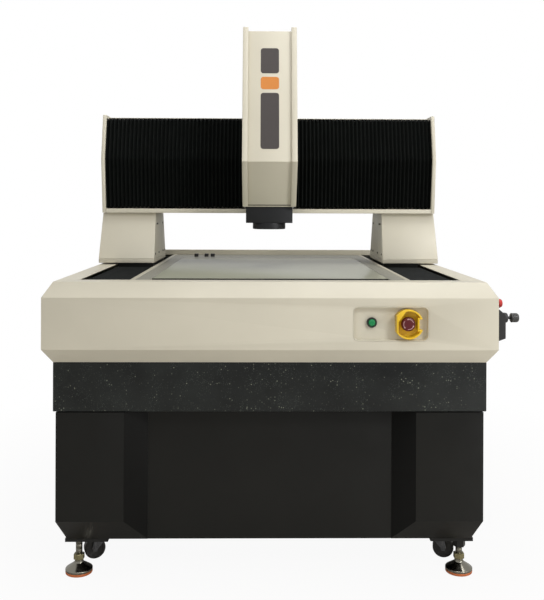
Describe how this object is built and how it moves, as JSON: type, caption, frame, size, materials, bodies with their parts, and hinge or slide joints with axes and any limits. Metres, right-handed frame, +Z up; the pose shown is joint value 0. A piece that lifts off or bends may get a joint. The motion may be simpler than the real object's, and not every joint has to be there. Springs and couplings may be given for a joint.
{
  "type": "vision measuring machine",
  "caption": "Floor-standing gantry vision measuring machine: moving bridge with optical head over a glass stage, granite base and steel stand.",
  "frame": {"origin": "on the floor, under the centre of the whole machine's bounding box; the plane between the two columns lies at x = -42.5 mm because the joystick stands out of the right side", "axes": "+X to the operator's right, +Y away from the operator, +Z up"},
  "size_m": [1.325, 1.351, 1.631],
  "materials": {
    "cream_paint": "satin powder coat",
    "black_paint": "satin",
    "black_steel": "satin",
    "granite": "honed, fine pale specks",
    "anodised": "satin anodised",
    "stage_glass": "polished",
    "diffuser": "matt diffuser",
    "rail_steel": "ground",
    "cast_column": "painted casting",
    "aluminium": "milled",
    "black_metal": "black anodised",
    "bellows_cloth": "coated cloth",
    "black_plastic": "fine grain",
    "knob_plastic": "satin",
    "wheel_plastic": "moulded nylon",
    "yellow_plastic": "gloss",
    "red_plastic": "satin",
    "bright_red_plastic": "gloss",
    "green_lens": "gloss",
    "foot_steel": "zinc plated"
  },
  "bodies": {
    "base": {"stand_frame": "black_steel", "stand_shells": "black_paint", "stand_panels": "black_paint", "granite_base": "granite", "casing_front": "cream_paint", "casing_rear": "cream_paint", "casing_left": "cream_paint", "casing_right": "cream_paint", "control_tray": "cream_paint", "button_bezels": "black_plastic", "estop_guard": "yellow_plastic", "side_housings": "black_plastic", "stage_frame": "anodised", "stage_glass": "stage_glass", "backlight": "diffuser", "stage_trim": "cream_paint", "y_rails": "rail_steel", "locating_blocks": "black_plastic", "y_bellows": "bellows_cloth"},
    "head": {"x_carriages": "rail_steel", "x_saddle": "aluminium", "head_side_left": "cream_paint", "head_side_right": "cream_paint", "head_front_cover": "cream_paint", "head_backplate": "aluminium", "z_actuator": "aluminium"},
    "optics": {"z_plate": "aluminium", "camera": "black_metal", "zoom_lens": "black_metal", "lamp_housing": "black_metal", "ring_light": "black_metal"},
    "bridge": {"y_carriages": "rail_steel", "bridge_columns": "cast_column", "column_cover_left": "cream_paint", "column_cover_right": "cream_paint", "beam": "granite", "beam_end_plates": "cream_paint", "beam_bottom_strip": "cream_paint", "beam_rear_cover": "cream_paint", "x_rails": "rail_steel", "x_bellows": "bellows_cloth"},
    "power_button": {"power_button": "green_lens"},
    "estop_stem": {"estop_stem": "black_plastic"},
    "estop_mushroom": {"estop_mushroom": "red_plastic"},
    "side_button": {"side_button": "bright_red_plastic"},
    "joystick_gimbal": {"joystick_gimbal": "aluminium"},
    "joystick_stick": {"joystick_stick": "black_plastic"},
    "joystick_knob": {"joystick_knob": "knob_plastic"},
    "foot_front_left": {"foot_front_left": "foot_steel"},
    "caster_fork_front_left": {"caster_fork_front_left": "black_steel"},
    "caster_wheel_front_left": {"caster_wheel_front_left": "wheel_plastic"},
    "foot_front_right": {"foot_front_right": "foot_steel"},
    "caster_fork_front_right": {"caster_fork_front_right": "black_steel"},
    "caster_wheel_front_right": {"caster_wheel_front_right": "wheel_plastic"},
    "foot_rear_left": {"foot_rear_left": "foot_steel"},
    "caster_fork_rear_left": {"caster_fork_rear_left": "black_steel"},
    "caster_wheel_rear_left": {"caster_wheel_rear_left": "wheel_plastic"},
    "foot_rear_right": {"foot_rear_right": "foot_steel"},
    "caster_fork_rear_right": {"caster_fork_rear_right": "black_steel"},
    "caster_wheel_rear_right": {"caster_wheel_rear_right": "wheel_plastic"}
  },
  "joints": [
    {"name": "bridge_travel", "type": "slide", "parent": "base", "child": "bridge", "axis": [0, 1, 0], "range_m": [-0.514, 0.186], "deforming": ["y_bellows"]},
    {"name": "head_travel", "type": "slide", "parent": "bridge", "child": "head", "axis": [1, 0, 0], "range_m": [-0.3, 0.3], "deforming": ["x_bellows"]},
    {"name": "optics_focus", "type": "slide", "parent": "head", "child": "optics", "axis": [0, 0, 1], "range_m": [-0.1, 0.1]},
    {"name": "power_push", "type": "slide", "parent": "base", "child": "power_button", "axis": [0, 1, 0], "range_m": [0, 0.0025], "stiffness_N_per_m": 900, "springref_m": -0.002},
    {"name": "estop_push", "type": "slide", "parent": "base", "child": "estop_stem", "axis": [0, 1, 0], "range_m": [0, 0.004]},
    {"name": "estop_twist", "type": "hinge", "parent": "estop_stem", "child": "estop_mushroom", "pos_m": [0.3305, -0.67, 0.721], "axis": [0, 1, 0], "range_deg": [0, 45], "stiffness_Nm_per_rad": 0.05, "springref_deg": -11.46},
    {"name": "side_push", "type": "slide", "parent": "base", "child": "side_button", "axis": [-1, 0, 0], "range_m": [0, 0.004], "stiffness_N_per_m": 900, "springref_m": -0.002},
    {"name": "joystick_tilt", "type": "hinge", "parent": "base", "child": "joystick_gimbal", "pos_m": [0.6135, -0.569, 0.725], "axis": [0, 1, 0], "range_deg": [-15, 15], "stiffness_Nm_per_rad": 0.9},
    {"name": "joystick_swing", "type": "hinge", "parent": "joystick_gimbal", "child": "joystick_stick", "pos_m": [0.6135, -0.569, 0.725], "axis": [0, 0, 1], "range_deg": [-15, 15], "stiffness_Nm_per_rad": 0.9},
    {"name": "joystick_twist", "type": "hinge", "parent": "joystick_stick", "child": "joystick_knob", "pos_m": [0.6475, -0.569, 0.725], "axis": [1, 0, 0], "range_deg": [-25, 25], "stiffness_Nm_per_rad": 0.1},
    {"name": "caster_swivel_front_left", "type": "hinge", "parent": "base", "child": "caster_fork_front_left", "pos_m": [-0.5325, -0.486, 0.09], "axis": [0, 0, 1], "continuous": true},
    {"name": "caster_roll_front_left", "type": "hinge", "parent": "caster_fork_front_left", "child": "caster_wheel_front_left", "pos_m": [-0.55129, -0.49284, 0.045], "axis": [0.342, -0.9397, 0], "continuous": true},
    {"name": "foot_screw_front_left", "type": "slide", "parent": "base", "child": "foot_front_left", "axis": [0, 0, 1], "range_m": [-0.015, 0.018]},
    {"name": "caster_swivel_front_right", "type": "hinge", "parent": "base", "child": "caster_fork_front_right", "pos_m": [0.4475, -0.486, 0.09], "axis": [0, 0, 1], "continuous": true},
    {"name": "caster_roll_front_right", "type": "hinge", "parent": "caster_fork_front_right", "child": "caster_wheel_front_right", "pos_m": [0.46706, -0.49016, 0.045], "axis": [0.2079, 0.9781, 0], "continuous": true},
    {"name": "foot_screw_front_right", "type": "slide", "parent": "base", "child": "foot_front_right", "axis": [0, 0, 1], "range_m": [-0.015, 0.018]},
    {"name": "caster_swivel_rear_left", "type": "hinge", "parent": "base", "child": "caster_fork_rear_left", "pos_m": [-0.5325, 0.486, 0.09], "axis": [0, 0, 1], "continuous": true},
    {"name": "caster_roll_rear_left", "type": "hinge", "parent": "caster_fork_rear_left", "child": "caster_wheel_rear_left", "pos_m": [-0.55129, 0.49284, 0.045], "axis": [-0.342, -0.9397, 0], "continuous": true},
    {"name": "foot_screw_rear_left", "type": "slide", "parent": "base", "child": "foot_rear_left", "axis": [0, 0, 1], "range_m": [-0.015, 0.018]},
    {"name": "caster_swivel_rear_right", "type": "hinge", "parent": "base", "child": "caster_fork_rear_right", "pos_m": [0.4475, 0.486, 0.09], "axis": [0, 0, 1], "continuous": true},
    {"name": "caster_roll_rear_right", "type": "hinge", "parent": "caster_fork_rear_right", "child": "caster_wheel_rear_right", "pos_m": [0.46682, 0.49118, 0.045], "axis": [-0.2588, 0.9659, 0], "continuous": true},
    {"name": "foot_screw_rear_right", "type": "slide", "parent": "base", "child": "foot_rear_right", "axis": [0, 0, 1], "range_m": [-0.015, 0.018]}
  ]
}
